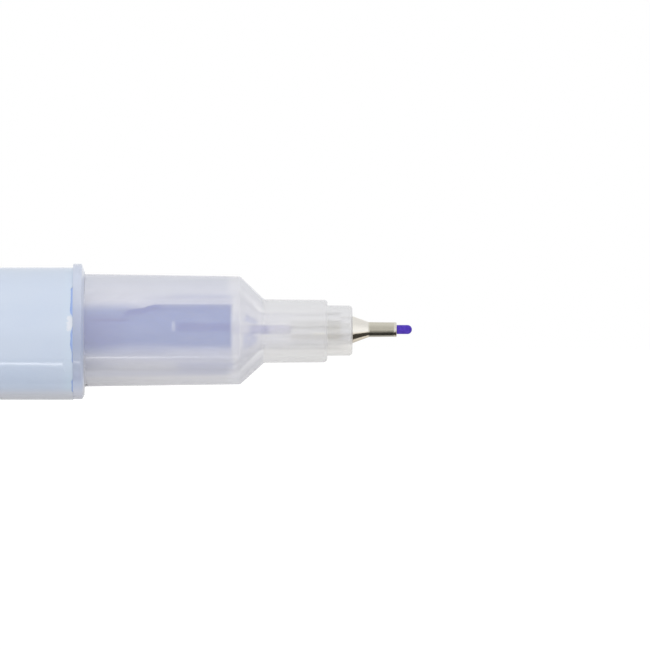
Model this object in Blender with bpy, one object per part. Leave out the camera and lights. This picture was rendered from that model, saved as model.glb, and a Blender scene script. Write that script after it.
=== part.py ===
"""Fabric marking pen, lying on a table with its cap pushed onto its tail.

Metres, +Z up, +X towards the nib. The origin is on the table under the middle of the pen.
Stations along the pen are measured from the barrel's front end, positive towards the nib,
and stations along the cap from its mouth, positive towards its crown.
"""

import math

import bmesh
import bpy
from mathutils import Matrix, Vector

MM = 0.001

# Driving dimensions: what the wrapped barrel, the collar and the nose measure
FILM_RADIUS = 5.25 * MM
FILM_WALL = 0.10 * MM
BARREL_LENGTH = 92.0 * MM
BARREL_WALL = 0.78 * MM
COLLAR_RADIUS = 5.39 * MM
COLLAR_WIDTH = 1.00 * MM
NOSE_RADIUS = 4.49 * MM
NOSE_DRAFT = 0.18 * MM
NOSE_LENGTH = 12.31 * MM
SHOULDER_LENGTH = 1.90 * MM
NECK_RADIUS = 2.535 * MM
NECK_LENGTH = 5.11 * MM
TIP_RADIUS = 2.015 * MM
TIP_LENGTH = 1.99 * MM
NECK_DRAFT = 0.04 * MM
TIP_DRAFT = 0.02 * MM
TIP_WALL = 0.92 * MM
CONE_RADIUS = 1.04 * MM
CONE_LENGTH = 1.31 * MM
TUBE_RADIUS = 0.565 * MM
TUBE_LENGTH = 2.21 * MM
NIB_RADIUS = 0.35 * MM
NIB_REACH = 1.21 * MM
CHAMBER_RADIUS = 3.49 * MM
NECK_BORE_RADIUS = 1.47 * MM
CHAMBER_RIB_HEIGHT = 0.24 * MM
RESERVOIR_RADIUS = 3.18 * MM
CAP_LENGTH = 32.0 * MM
POST_LENGTH = 10.0 * MM
POST_RADIUS = 4.40 * MM
CLIP_WIDTH = 3.4 * MM
CLIP_THICKNESS = 1.1 * MM
CLIP_GAP = 1.0 * MM

# Clearances between pieces, and the facets of round ones
RUNNING_GAP = 0.05 * MM
SEAT_GAP = 0.05 * MM
BODY_SIDES = 32
FINE_SIDES = 24
NIB_SIDES = 16
ARC_STEPS = 4

# Stations along the pen
COLLAR_FRONT = COLLAR_WIDTH
SHOULDER_START = COLLAR_FRONT + NOSE_LENGTH
NECK_START = SHOULDER_START + SHOULDER_LENGTH
NECK_END = NECK_START + NECK_LENGTH
TIP_END = NECK_END + TIP_LENGTH
CONE_END = TIP_END + CONE_LENGTH
TUBE_END = CONE_END + TUBE_LENGTH
NIB_END = TUBE_END + NIB_REACH
FLANGE_WIDTH = 1.2 * MM
FLANGE_BACK = -BARREL_LENGTH - FLANGE_WIDTH
POST_END = FLANGE_BACK - POST_LENGTH
CAP_MOUTH = FLANGE_BACK - SEAT_GAP
CAP_END = CAP_MOUTH - CAP_LENGTH

# Lying down, the collar and the wrapped barrel both touch the table, so the nose
# sits higher than the barrel by the play of its push fit, and the reservoir rests
# on the ribs of its chamber. Round pieces have a flat facing down, nearer than their radius
FLAT_SHARE = math.cos(math.pi / BODY_SIDES)
BARREL_AXIS_HEIGHT = FILM_RADIUS * FLAT_SHARE
NOSE_AXIS_HEIGHT = COLLAR_RADIUS * FLAT_SHARE
RESERVOIR_DROP = 0.02 * MM
MIDDLE = (NIB_END + CAP_END) / 2

BARREL_RADIUS = FILM_RADIUS - FILM_WALL - RUNNING_GAP
BARREL_BORE = BARREL_RADIUS - BARREL_WALL
SPIGOT_LENGTH = 9.0 * MM
FERRULE_LENGTH_INSIDE = 4.90 * MM
FERRULE_BACK = TIP_END - FERRULE_LENGTH_INSIDE
RESERVOIR_FRONT = SHOULDER_START - 0.60 * MM
RESERVOIR_BACK = -86.0 * MM
NIB_BACK = RESERVOIR_FRONT - 4.54 * MM
CHAMBER_RIB_START = 8.25 * MM
RIB_TURN = 25

# Finishes: sRGB colour, roughness, metallic, alpha
FINISHES = {
    "blue_plastic": ((128, 163, 224), 0.35, 0.0, 1.0),
    "pale_blue_film": ((207, 217, 232), 0.25, 0.0, 1.0),
    "pale_blue_plastic": ((188, 206, 234), 0.35, 0.0, 1.0),
    "frosted_plastic": ((222, 222, 228), 0.30, 0.0, 0.6),
    "nickel": ((206, 200, 188), 0.18, 1.0, 1.0),
    "violet_fibre": ((85, 68, 187), 0.70, 0.0, 1.0),
    "inked_fibre": ((94, 82, 186), 0.85, 0.0, 1.0),
    "inked_film": ((130, 126, 206), 0.20, 0.0, 1.0),
    "natural_plastic": ((236, 237, 240), 0.45, 0.0, 1.0),
}


def clear_scene():
    for thing in list(bpy.data.objects):
        bpy.data.objects.remove(thing)


def linear(channel):
    share = channel / 255
    return share / 12.92 if share <= 0.04045 else ((share + 0.055) / 1.055) ** 2.4


def finish(name):
    """The material of that name, made from its row in FINISHES at first use."""
    made = bpy.data.materials.get(name)
    if made:
        return made
    colour, roughness, metallic, alpha = FINISHES[name]
    made = bpy.data.materials.new(name)
    made.use_nodes = True
    shader = made.node_tree.nodes["Principled BSDF"]
    rgba = [linear(channel) for channel in colour] + [1.0]
    shader.inputs["Base Color"].default_value = rgba
    shader.inputs["Roughness"].default_value = roughness
    shader.inputs["Metallic"].default_value = metallic
    shader.inputs["Alpha"].default_value = alpha
    made.diffuse_color = rgba
    return made


def axis_empty(name, station, height, towards_nib=True):
    """An empty on a piece's axis, its Z along the pen: towards the nib, or towards the tail."""
    empty = bpy.data.objects.new(name, None)
    empty.location = (station - MIDDLE, 0, height)
    empty.rotation_euler = (0, math.radians(90 if towards_nib else -90), 0)
    bpy.context.scene.collection.objects.link(empty)
    return empty


def arc(centre_radius, centre_station, size, start, end, steps=ARC_STEPS):
    """Points of an outline on a round edge. Angles are in degrees, from outwards to forwards."""
    points = []
    for step in range(steps + 1):
        angle = math.radians(start + (end - start) * step / steps)
        points.append(
            (centre_radius + size * math.cos(angle), centre_station + size * math.sin(angle))
        )
    return points


def add_object(name, bm, parent, finish_name):
    """A named object from a closed bmesh, facing out and shaded smooth but for its sharp edges."""
    bmesh.ops.recalc_face_normals(bm, faces=bm.faces)
    mesh = bpy.data.meshes.new(name)
    bm.to_mesh(mesh)
    bm.free()
    mesh.shade_smooth()
    mesh.set_sharp_from_angle(angle=math.radians(30))
    mesh.materials.append(finish(finish_name))
    made = bpy.data.objects.new(name, mesh)
    made.parent = parent
    bpy.context.scene.collection.objects.link(made)
    return made


def turned(name, outline, parent, finish_name, sides=BODY_SIDES):
    """A piece turned about its Z axis from an outline of (radius, station) points.

    An outline that starts and ends on the axis is a solid, and any other is a closed ring.
    A flat, not a corner, faces down.
    """
    bm = bmesh.new()
    turn = math.pi / sides
    verts = [
        bm.verts.new((radius * math.cos(turn), radius * math.sin(turn), station))
        for radius, station in outline
    ]
    edges = [bm.edges.new(pair) for pair in zip(verts, verts[1:])]
    if outline[0][0] > 0:
        edges.append(bm.edges.new((verts[-1], verts[0])))
    bmesh.ops.spin(
        bm,
        geom=verts + edges,
        cent=(0, 0, 0),
        axis=(0, 0, 1),
        angle=math.tau,
        steps=sides,
        use_merge=True,
    )
    bmesh.ops.remove_doubles(bm, verts=bm.verts, dist=0.001 * MM)
    return add_object(name, bm, parent, finish_name)


def prism(bm, corners, sweep):
    """A closed solid swept straight from a flat outline, added to a bmesh. It returns its vertices."""
    start = [bm.verts.new(corner) for corner in corners]
    swept = bmesh.ops.extrude_face_region(bm, geom=[bm.faces.new(start)])
    end = [item for item in swept["geom"] if isinstance(item, bmesh.types.BMVert)]
    bmesh.ops.translate(bm, verts=end, vec=sweep)
    return start + end


def helper(name, bm, parent, finish_name):
    """A shape that another piece is cut by or joined to, and that isn't a piece itself."""
    made = add_object(name, bm, parent, finish_name)
    made.hide_render = True
    made.display_type = "WIRE"
    return made


def combine(piece, other, operation):
    modifier = piece.modifiers.new(other.name, "BOOLEAN")
    modifier.operation = operation
    modifier.object = other


def barrel_tube(axis):
    lip = 0.15 * MM
    front = -SEAT_GAP
    outline = [
        (BARREL_BORE + lip, front),
        (BARREL_RADIUS - lip, front),
        (BARREL_RADIUS, front - lip),
        (BARREL_RADIUS, -BARREL_LENGTH),
        (BARREL_BORE, -BARREL_LENGTH),
        (BARREL_BORE, front - lip),
    ]
    return turned("barrel_tube", outline, axis, "blue_plastic")


def barrel_film(axis):
    """The printed film wrapped round the barrel, stopping just short of both ends."""
    front_margin = 0.20 * MM
    back_margin = 0.60 * MM
    inner = FILM_RADIUS - FILM_WALL
    outline = [
        (inner, -front_margin),
        (FILM_RADIUS, -front_margin),
        (FILM_RADIUS, back_margin - BARREL_LENGTH),
        (inner, back_margin - BARREL_LENGTH),
    ]
    return turned("barrel_film", outline, axis, "pale_blue_film")


def ring_of_ribs(name, axis, crest, root, width, back, front):
    """Six straight ribs standing in from a bore, with air passages between them."""
    count = 6
    first = math.radians(RIB_TURN)
    bm = bmesh.new()
    for k in range(count):
        corners = [(crest, -width / 2, back), (root, -width / 2, back)]
        corners += [(root, width / 2, back), (crest, width / 2, back)]
        rib = prism(bm, corners, (0, 0, front - back))
        turn = Matrix.Rotation(first + math.tau * k / count, 3, "Z")
        bmesh.ops.rotate(bm, verts=rib, matrix=turn)
    return helper(name, bm, axis, "frosted_plastic")


def ferrule_ribs(axis):
    """The ribs inside the neck that grip the ferrule."""
    bite = 0.25 * MM
    return ring_of_ribs(
        "ferrule_ribs",
        axis,
        crest=CONE_RADIUS + RUNNING_GAP,
        root=NECK_BORE_RADIUS + bite,
        width=0.40 * MM,
        back=FERRULE_BACK,
        front=TIP_END - TIP_WALL + bite,
    )


def chamber_ribs(axis):
    """The ribs at the front of the chamber that hold the reservoir's end."""
    bite = 0.40 * MM
    return ring_of_ribs(
        "chamber_ribs",
        axis,
        crest=CHAMBER_RADIUS - CHAMBER_RIB_HEIGHT,
        root=CHAMBER_RADIUS + bite,
        width=0.64 * MM,
        back=CHAMBER_RIB_START,
        front=SHOULDER_START,
    )


def nose_section(axis):
    """The frosted front moulding: spigot, collar, barrel-sized nose, shoulder, neck and tip."""
    neck_edge = 0.30 * MM
    tip_edge = 0.28 * MM
    spigot = BARREL_BORE - 0.30 * MM
    bead = BARREL_BORE - 0.17 * MM
    bead_station = -5.5 * MM
    bead_length = 0.5 * MM
    bead_slope = 0.4 * MM
    lead_in = 0.20 * MM
    collar_chamfer = 0.38 * MM
    collar_back_edge = 0.08 * MM
    collar_face = COLLAR_RADIUS - 0.44 * MM
    hole = CONE_RADIUS + RUNNING_GAP
    neck_front = NECK_RADIUS - NECK_DRAFT
    tip_front = TIP_RADIUS - TIP_DRAFT
    outline = [
        (hole, TIP_END),
        *reversed(arc(tip_front - tip_edge, TIP_END - tip_edge, tip_edge, 0, 90)),
        (TIP_RADIUS, NECK_END),
        *reversed(arc(neck_front - neck_edge, NECK_END - neck_edge, neck_edge, 0, 90)),
        (NECK_RADIUS, NECK_START),
        (NOSE_RADIUS - NOSE_DRAFT, SHOULDER_START),
        (NOSE_RADIUS, COLLAR_FRONT),
        (collar_face, COLLAR_FRONT),
        (COLLAR_RADIUS, COLLAR_FRONT - collar_chamfer),
        (COLLAR_RADIUS, collar_back_edge),
        (COLLAR_RADIUS - collar_back_edge, 0),
        (spigot, 0),
        (spigot, bead_station + bead_length / 2 + bead_slope),
        (bead, bead_station + bead_length / 2),
        (bead, bead_station - bead_length / 2),
        (spigot, bead_station - bead_length / 2 - bead_slope),
        (spigot, lead_in - SPIGOT_LENGTH),
        (spigot - lead_in, -SPIGOT_LENGTH),
        (CHAMBER_RADIUS, -SPIGOT_LENGTH),
        (CHAMBER_RADIUS, SHOULDER_START - 0.35 * MM),
        (NECK_BORE_RADIUS, NECK_START - 0.30 * MM),
        (NECK_BORE_RADIUS, TIP_END - TIP_WALL),
        (hole, TIP_END - TIP_WALL),
    ]
    nose = turned("nose_section", outline, axis, "frosted_plastic")
    combine(nose, ferrule_ribs(axis), "UNION")
    combine(nose, chamber_ribs(axis), "UNION")
    return nose


def nib_ferrule(axis):
    """The drawn metal point: a shank in the neck, a cone, and the fine tube that holds the nib."""
    shank_wall = 0.22 * MM
    lip = 0.06 * MM
    tube_draft = 0.025 * MM
    nib_bore = NIB_RADIUS + RUNNING_GAP
    tube_front = TUBE_RADIUS - tube_draft
    outline = [
        (nib_bore, TUBE_END),
        (tube_front - lip, TUBE_END),
        (tube_front, TUBE_END - lip),
        (TUBE_RADIUS, CONE_END),
        (CONE_RADIUS, TIP_END),
        (CONE_RADIUS, FERRULE_BACK + lip),
        (CONE_RADIUS - lip, FERRULE_BACK),
        (CONE_RADIUS - shank_wall, FERRULE_BACK),
        (CONE_RADIUS - shank_wall, TIP_END),
        (nib_bore, CONE_END),
    ]
    return turned("nib_ferrule", outline, axis, "nickel", FINE_SIDES)


def fibre_nib(axis):
    """One porous rod, from its rounded writing end back into the reservoir."""
    back_taper = 0.20 * MM
    outline = [
        *reversed(arc(0, NIB_END - NIB_RADIUS, NIB_RADIUS, 0, 90, 5)),
        (NIB_RADIUS, NIB_BACK + back_taper),
        (NIB_RADIUS - back_taper, NIB_BACK),
        (0, NIB_BACK),
    ]
    outline[0] = (0, NIB_END)
    return turned("fibre_nib", outline, axis, "violet_fibre", NIB_SIDES)


def nib_socket(axis):
    """The hole that the nib makes in the front of the reservoir, on the nose's axis."""
    radius = NIB_RADIUS + RUNNING_GAP
    depth_margin = 0.15 * MM
    bm = bmesh.new()
    back = NIB_BACK - depth_margin
    front = RESERVOIR_FRONT + 1.0 * MM
    made = bmesh.ops.create_cone(
        bm, segments=NIB_SIDES, radius1=radius, radius2=radius, depth=front - back, cap_ends=True
    )
    bmesh.ops.translate(bm, verts=made["verts"], vec=(0, 0, (front + back) / 2))
    return helper("nib_socket", bm, axis, "inked_fibre")


def ink_reservoir(axis):
    """The bundle of ink-soaked fibre, lying on the floor of its chamber."""
    film_wall = 0.06 * MM
    radius = RESERVOIR_RADIUS - film_wall - RUNNING_GAP
    edge = 0.15 * MM
    outline = [
        (0, RESERVOIR_FRONT),
        (radius - edge, RESERVOIR_FRONT),
        (radius, RESERVOIR_FRONT - edge),
        (radius, RESERVOIR_BACK + edge),
        (radius - edge, RESERVOIR_BACK),
        (0, RESERVOIR_BACK),
    ]
    core = turned("ink_reservoir", outline, axis, "inked_fibre")
    combine(core, nib_socket(axis), "DIFFERENCE")
    end_margin = 0.10 * MM
    inner = RESERVOIR_RADIUS - film_wall
    sleeve = [
        (inner, RESERVOIR_FRONT - end_margin),
        (RESERVOIR_RADIUS, RESERVOIR_FRONT - end_margin),
        (RESERVOIR_RADIUS, RESERVOIR_BACK + end_margin),
        (inner, RESERVOIR_BACK + end_margin),
    ]
    film = turned("reservoir_film", sleeve, axis, "inked_film")
    for piece in (core, film):
        piece.location.x = RESERVOIR_DROP


def tail_plug(axis):
    """The stopper pressed into the barrel's back end, with the post that the cap is pushed onto."""
    spigot_length = 10.0 * MM
    spigot = BARREL_BORE - RUNNING_GAP
    lead_in = 0.30 * MM
    wall = 1.0 * MM
    cup = RESERVOIR_RADIUS + NOSE_AXIS_HEIGHT - BARREL_AXIS_HEIGHT + RESERVOIR_DROP
    post_draft = 0.06 * MM
    post_edge = 0.50 * MM
    flange_edge = 0.25 * MM
    flange_front = -BARREL_LENGTH - SEAT_GAP
    front = spigot_length - BARREL_LENGTH
    post_top = POST_RADIUS - post_draft
    outline = [
        (0, POST_END + wall),
        (cup, POST_END + wall),
        (cup, front),
        (spigot - lead_in, front),
        (spigot, front - lead_in),
        (spigot, flange_front),
        *reversed(arc(FILM_RADIUS - flange_edge, flange_front - flange_edge, flange_edge, 0, 90)),
        *reversed(arc(FILM_RADIUS - flange_edge, FLANGE_BACK + flange_edge, flange_edge, -90, 0)),
        (POST_RADIUS, FLANGE_BACK),
        *reversed(arc(post_top - post_edge, POST_END + post_edge, post_edge, -90, 0)),
        (0, POST_END),
    ]
    plug = turned("tail_plug", outline, axis, "blue_plastic")
    combine(plug, stop_fins(axis, cup, wall), "UNION")
    return plug


def stop_fins(axis, cup, wall):
    """Crossed fins inside the tail plug that stop the reservoir."""
    half = 0.4 * MM
    bite = 0.4 * MM
    reach = cup + bite
    back = POST_END + wall - bite
    front = RESERVOIR_BACK - 0.3 * MM
    corners = []
    for k in range(4):
        quarter = Matrix.Rotation(math.tau * k / 4, 3, "Z")
        for x, y in ((reach, -half), (reach, half), (half, half)):
            corners.append(quarter @ Vector((x, y, back)))
    bm = bmesh.new()
    prism(bm, corners, (0, 0, front - back))
    return helper("stop_fins", bm, axis, "blue_plastic")


def pocket_clip(axis, wall_outside):
    """The clip moulded on the cap: a sprung arm rooted at the crown, with a bump near its free end."""
    free_end = 8.5 * MM
    root = CAP_LENGTH - 1.4 * MM
    bite = 0.5 * MM
    under = wall_outside + CLIP_GAP
    over = under + CLIP_THICKNESS
    bend_centre = wall_outside - bite
    outer_bend = over - bend_centre
    bend_station = root - outer_bend
    bump = 0.75 * MM
    bump_length = 4.5 * MM
    edge = CLIP_THICKNESS / 2
    taper = 0.25
    soft_edge = 0.22 * MM
    outline = [
        *reversed(arc(bend_centre, bend_station, outer_bend, 0, 90, 6)),
        *arc(over - edge, free_end + edge, edge, 0, -90),
        *arc(under, free_end + bump, bump, -90, -180),
        (under, free_end + bump_length),
        *arc(bend_centre, bend_station, under - bend_centre, 0, 90),
    ]
    bm = bmesh.new()
    side = [(radius, -CLIP_WIDTH / 2, station) for radius, station in outline]
    for vert in prism(bm, side, (0, CLIP_WIDTH, 0)):
        vert.co.y *= 1 - taper * (root - vert.co.z) / (root - free_end)
    clip = helper("pocket_clip", bm, axis, "pale_blue_plastic")
    rounded = clip.modifiers.new("soft_edges", "BEVEL")
    rounded.width = soft_edge
    rounded.segments = 2
    rounded.angle_limit = math.radians(50)
    return clip


def cap_shell(axis):
    """The cap, flush with the wrapped barrel: a drafted bore, a flat crown and a moulded clip."""
    draft = 0.10 * MM
    crown_wall = 1.8 * MM
    crown_edge = 0.90 * MM
    rim_edge = 0.10 * MM
    mouth_bore = NOSE_RADIUS + 0.07 * MM
    seat_bore = NOSE_RADIUS - NOSE_DRAFT + 0.09 * MM
    deep_bore = 4.34 * MM
    lead_in = 0.15 * MM
    crown = FILM_RADIUS - draft
    floor = CAP_LENGTH - crown_wall
    outline = [
        (0, CAP_LENGTH),
        *reversed(arc(crown - crown_edge, CAP_LENGTH - crown_edge, crown_edge, 0, 90)),
        (FILM_RADIUS, rim_edge),
        (FILM_RADIUS - rim_edge, 0),
        (mouth_bore + lead_in, 0),
        (mouth_bore, 2 * lead_in),
        (seat_bore, NOSE_LENGTH),
        (deep_bore, floor),
        (0, floor),
    ]
    shell = turned("cap_shell", outline, axis, "pale_blue_plastic")
    combine(shell, pocket_clip(axis, crown), "UNION")
    return shell


def cap_inner_seal(axis):
    """The soft thimble pressed into the cap's crown. It closes round the neck and keeps the nib wet."""
    back = CAP_LENGTH - 1.8 * MM - SEAT_GAP
    flange = 4.34 * MM - RUNNING_GAP
    flange_width = 0.9 * MM
    outside = 3.25 * MM
    seal_bore = NECK_RADIUS
    mouth = NECK_END - COLLAR_FRONT - 1.9 * MM
    lead_in = 0.25 * MM
    blind_end = NIB_END - COLLAR_FRONT + 1.2 * MM
    outline = [
        (0, back),
        (flange, back),
        (flange, back - flange_width),
        (outside, back - 1.5 * flange_width),
        (outside - lead_in / 2, mouth),
        (seal_bore + lead_in, mouth),
        (seal_bore, mouth + 2 * lead_in),
        (seal_bore, blind_end - lead_in),
        (seal_bore - lead_in, blind_end),
        (0, blind_end),
    ]
    return turned("cap_inner_seal", outline, axis, "natural_plastic", FINE_SIDES)


def build():
    clear_scene()
    barrel_axis = axis_empty("barrel_axis", 0, BARREL_AXIS_HEIGHT)
    nose_axis = axis_empty("nose_axis", 0, NOSE_AXIS_HEIGHT)
    cap_axis = axis_empty("cap_axis", CAP_MOUTH, BARREL_AXIS_HEIGHT, towards_nib=False)
    barrel_tube(barrel_axis)
    barrel_film(barrel_axis)
    tail_plug(barrel_axis)
    nose_section(nose_axis)
    nib_ferrule(nose_axis)
    fibre_nib(nose_axis)
    ink_reservoir(nose_axis)
    cap_shell(cap_axis)
    cap_inner_seal(cap_axis)


build()
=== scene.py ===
import math

import bmesh
import bpy
from mathutils import Matrix, Vector


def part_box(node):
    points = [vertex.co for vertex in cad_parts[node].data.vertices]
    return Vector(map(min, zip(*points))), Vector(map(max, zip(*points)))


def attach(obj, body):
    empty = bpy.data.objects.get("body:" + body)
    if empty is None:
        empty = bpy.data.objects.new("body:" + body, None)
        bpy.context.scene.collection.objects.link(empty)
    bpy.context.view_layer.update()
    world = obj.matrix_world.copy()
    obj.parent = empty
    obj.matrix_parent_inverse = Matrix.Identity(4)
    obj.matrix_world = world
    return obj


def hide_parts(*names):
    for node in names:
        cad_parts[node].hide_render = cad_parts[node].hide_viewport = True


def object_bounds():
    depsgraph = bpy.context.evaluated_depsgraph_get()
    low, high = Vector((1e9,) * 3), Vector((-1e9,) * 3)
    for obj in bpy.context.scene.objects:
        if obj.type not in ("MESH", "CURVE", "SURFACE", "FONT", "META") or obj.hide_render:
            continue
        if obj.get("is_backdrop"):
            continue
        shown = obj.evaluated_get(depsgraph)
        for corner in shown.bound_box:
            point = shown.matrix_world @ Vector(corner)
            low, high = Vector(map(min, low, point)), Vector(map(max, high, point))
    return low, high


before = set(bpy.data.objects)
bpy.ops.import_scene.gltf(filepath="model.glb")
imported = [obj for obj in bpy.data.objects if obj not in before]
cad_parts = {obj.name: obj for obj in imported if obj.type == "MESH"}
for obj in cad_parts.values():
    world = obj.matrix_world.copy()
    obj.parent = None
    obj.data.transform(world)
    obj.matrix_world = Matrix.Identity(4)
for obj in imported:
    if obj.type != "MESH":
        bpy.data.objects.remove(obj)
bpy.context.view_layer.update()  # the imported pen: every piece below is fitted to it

scene = bpy.context.scene
mm = 0.001

# Where the pen lies. Stations run from the barrel's front end towards the nib, in millimetres
spigotLength = 9.0
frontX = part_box("nose_section")[0].x / mm + spigotLength


def middleHeight(node):
    low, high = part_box(node)
    return (low.z + high.z) / 2 / mm


def station(node, end):  # of a node's back end, 0, or its front end, 1
    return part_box(node)[end].x / mm - frontX


barrelAxis = (frontX, 0, middleHeight("barrel_film") - 0.10)  # the nose rides a hair high on the barrel
noseAxis = (frontX, 0, middleHeight("nose_section"))
pointAxis = (frontX, 0, noseAxis[2] + 0.085)  # the metal point and its nib sit a hair high in the nose
bundleAxis = (frontX, 0, middleHeight("reservoir_film"))
capAxis = (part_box("cap_shell")[1].x / mm, 0, barrelAxis[2])  # stations from the mouth back to the crown


def rgb(red, green, blue):  # a colour as read off a screen, 0 to 255
    def straight(channel):
        share = channel / 255
        return share / 12.92 if share <= 0.04045 else ((share + 0.055) / 1.055) ** 2.4

    return (straight(red), straight(green), straight(blue), 1.0)


class Wire:  # a node's output, which takes part in sums
    def __init__(self, graph, socket):
        self.graph = graph
        self.socket = socket

    def __add__(self, other):
        return self.graph.sum("ADD", self, other)

    def __radd__(self, other):
        return self.graph.sum("ADD", other, self)

    def __sub__(self, other):
        return self.graph.sum("SUBTRACT", self, other)

    def __rsub__(self, other):
        return self.graph.sum("SUBTRACT", other, self)

    def __mul__(self, other):
        return self.graph.sum("MULTIPLY", self, other)

    def __rmul__(self, other):
        return self.graph.sum("MULTIPLY", other, self)

    def __truediv__(self, other):
        return self.graph.sum("DIVIDE", self, other)

    def __rtruediv__(self, other):
        return self.graph.sum("DIVIDE", other, self)

    def __gt__(self, other):
        return self.graph.sum("GREATER_THAN", self, other)


class Graph:  # a node tree that is written as expressions
    def __init__(self, tree):
        self.tree = tree

    def plug(self, socket, value):
        if isinstance(value, Wire):
            self.tree.links.new(value.socket, socket)
        else:
            socket.default_value = value

    def node(self, kind, settings=None, sockets=None, out=0):
        made = self.tree.nodes.new(kind)
        for label, value in (settings or {}).items():
            setattr(made, label, value)
        for label, value in (sockets or {}).items():
            self.plug(made.inputs[label], value)
        return Wire(self, made.outputs[out])

    def sum(self, operation, *values):
        return self.node("ShaderNodeMath", {"operation": operation}, dict(enumerate(values)))

    def step(self, value, low, high, start=0.0, end=1.0):  # an S-shaped change from start to end
        sockets = {"Value": value, "From Min": low, "From Max": high, "To Min": start, "To Max": end}
        return self.node("ShaderNodeMapRange", {"interpolation_type": "SMOOTHSTEP"}, sockets)

    def band(self, value, low, high, soft):  # 1 between low and high, 0 outside
        rise = self.step(value, low - soft, low + soft)
        return rise * self.step(value, high - soft, high + soft, 1.0, 0.0)

    def tint(self, share, first, second):
        return self.node("ShaderNodeMix", {"data_type": "RGBA"}, {0: share, 6: first, 7: second}, out=2)

    def parts(self, vector):
        made = self.node("ShaderNodeSeparateXYZ", sockets={0: vector})
        return [Wire(self, socket) for socket in made.socket.node.outputs]

    def join(self, x, y, z):
        return self.node("ShaderNodeCombineXYZ", sockets={0: x, 1: y, 2: z})

    def length(self, first, second):
        return self.sum("SQRT", first * first + second * second)


class Finish(Graph):  # a material: constants go straight on the shader, what varies is wired
    def __init__(self, name, constants, centre=(0, 0, 0)):
        self.material = bpy.data.materials.new(name)
        self.material.use_nodes = True
        super().__init__(self.material.node_tree)
        self.shader = self.tree.nodes["Principled BSDF"]
        for label, value in constants.items():
            self.shader.inputs[label].default_value = value
        seen = self.node("ShaderNodeTexCoord", out="Object")
        offset = [-value for value in centre]
        sockets = {"Vector": seen, "Location": offset, "Scale": (1 / mm,) * 3}
        self.spot = self.node("ShaderNodeMapping", sockets=sockets)  # millimetres from the centre
        self.x, self.y, self.z = self.parts(self.spot)

    def noise(self, scale, stretch=(1, 1, 1), detail=3.0, roughness=0.55):  # about 0.25 to 0.75
        place = self.node("ShaderNodeVectorMath", {"operation": "MULTIPLY"}, {0: self.spot, 1: stretch})
        sockets = {"Vector": place, "Scale": scale, "Detail": detail, "Roughness": roughness}
        return self.node("ShaderNodeTexNoise", sockets=sockets)

    def tilt(self):  # degrees above the level, the same in front and behind
        return self.sum("ARCTAN2", self.z, self.sum("ABSOLUTE", self.y)) * math.degrees(1)

    def bearing(self):  # degrees above the level in front, on over the top to the back
        return self.sum("ARCTAN2", self.z, self.y * -1) * math.degrees(1)

    def feed(self, label, value):
        self.plug(self.shader.inputs[label], value)

    def veil(self, share):  # see-through by share, though most light still finds its way in
        shadow = self.node("ShaderNodeLightPath", out="Is Shadow Ray")
        self.feed("Alpha", share * (1 - nose["lightLet"] * shadow))

    def bump(self, height, depth):  # depth in millimetres
        self.feed("Normal", self.node("ShaderNodeBump", sockets={"Height": height, "Distance": depth * mm}))


class Shape(Graph):  # a geometry tree with named inputs
    def __init__(self, name, inlets):
        tree = bpy.data.node_groups.new(name, "GeometryNodeTree")
        super().__init__(tree)
        tree.interface.new_socket("Geometry", in_out="INPUT", socket_type="NodeSocketGeometry")
        for label, kind in inlets.items():
            tree.interface.new_socket(label, in_out="INPUT", socket_type="NodeSocket" + kind)
        tree.interface.new_socket("Geometry", in_out="OUTPUT", socket_type="NodeSocketGeometry")
        source = tree.nodes.new("NodeGroupInput")
        self.inlet = {socket.name: Wire(self, socket) for socket in source.outputs if socket.name}

    def close(self, geometry):
        whole = self.node("GeometryNodeRealizeInstances", sockets={"Geometry": geometry})
        sockets = {"Geometry": whole, "Material": self.inlet["Finish"]}
        worn = self.node("GeometryNodeSetMaterial", sockets=sockets)
        if "Lining" in self.inlet:
            sockets = {"Geometry": worn, "Selection": self.lined(), "Material": self.inlet["Lining"]}
            worn = self.node("GeometryNodeSetMaterial", sockets=sockets)
        end = self.tree.nodes.new("NodeGroupOutput")
        self.tree.links.new(worn.socket, end.inputs[0])

    def lined(self):  # true on an inner wall
        marked = self.node("GeometryNodeInputNamedAttribute", {"data_type": "FLOAT"}, {"Name": "lining"})
        return marked > 0.5

    def grow(self, name, seed, values):
        piece = bpy.data.objects.new(name, seed)
        scene.collection.objects.link(piece)
        modifier = piece.modifiers.new("shape", "NODES")
        modifier.node_group = self.tree
        for item in self.tree.interface.items_tree:
            if item.name in values:
                modifier[item.identifier] = values[item.name]
        depsgraph = bpy.context.evaluated_depsgraph_get()
        grown = bpy.data.meshes.new_from_object(piece.evaluated_get(depsgraph), depsgraph=depsgraph)
        piece.modifiers.remove(modifier)
        grown.name = name
        piece.data = grown
        return tidied(piece)


def tidied(piece, crease=32):
    bm = bmesh.new()
    bm.from_mesh(piece.data)
    bmesh.ops.remove_doubles(bm, verts=bm.verts, dist=0.0001 * mm)
    bmesh.ops.recalc_face_normals(bm, faces=bm.faces)
    bm.to_mesh(piece.data)
    bm.free()
    piece.data.shade_smooth()
    piece.data.set_sharp_from_angle(angle=math.radians(crease))
    return piece


def settle(piece, body, node):  # hands a finished piece over to the frame
    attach(piece, body)
    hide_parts(node)
    print("made", piece.name, len(piece.data.polygons), "faces")


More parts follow.
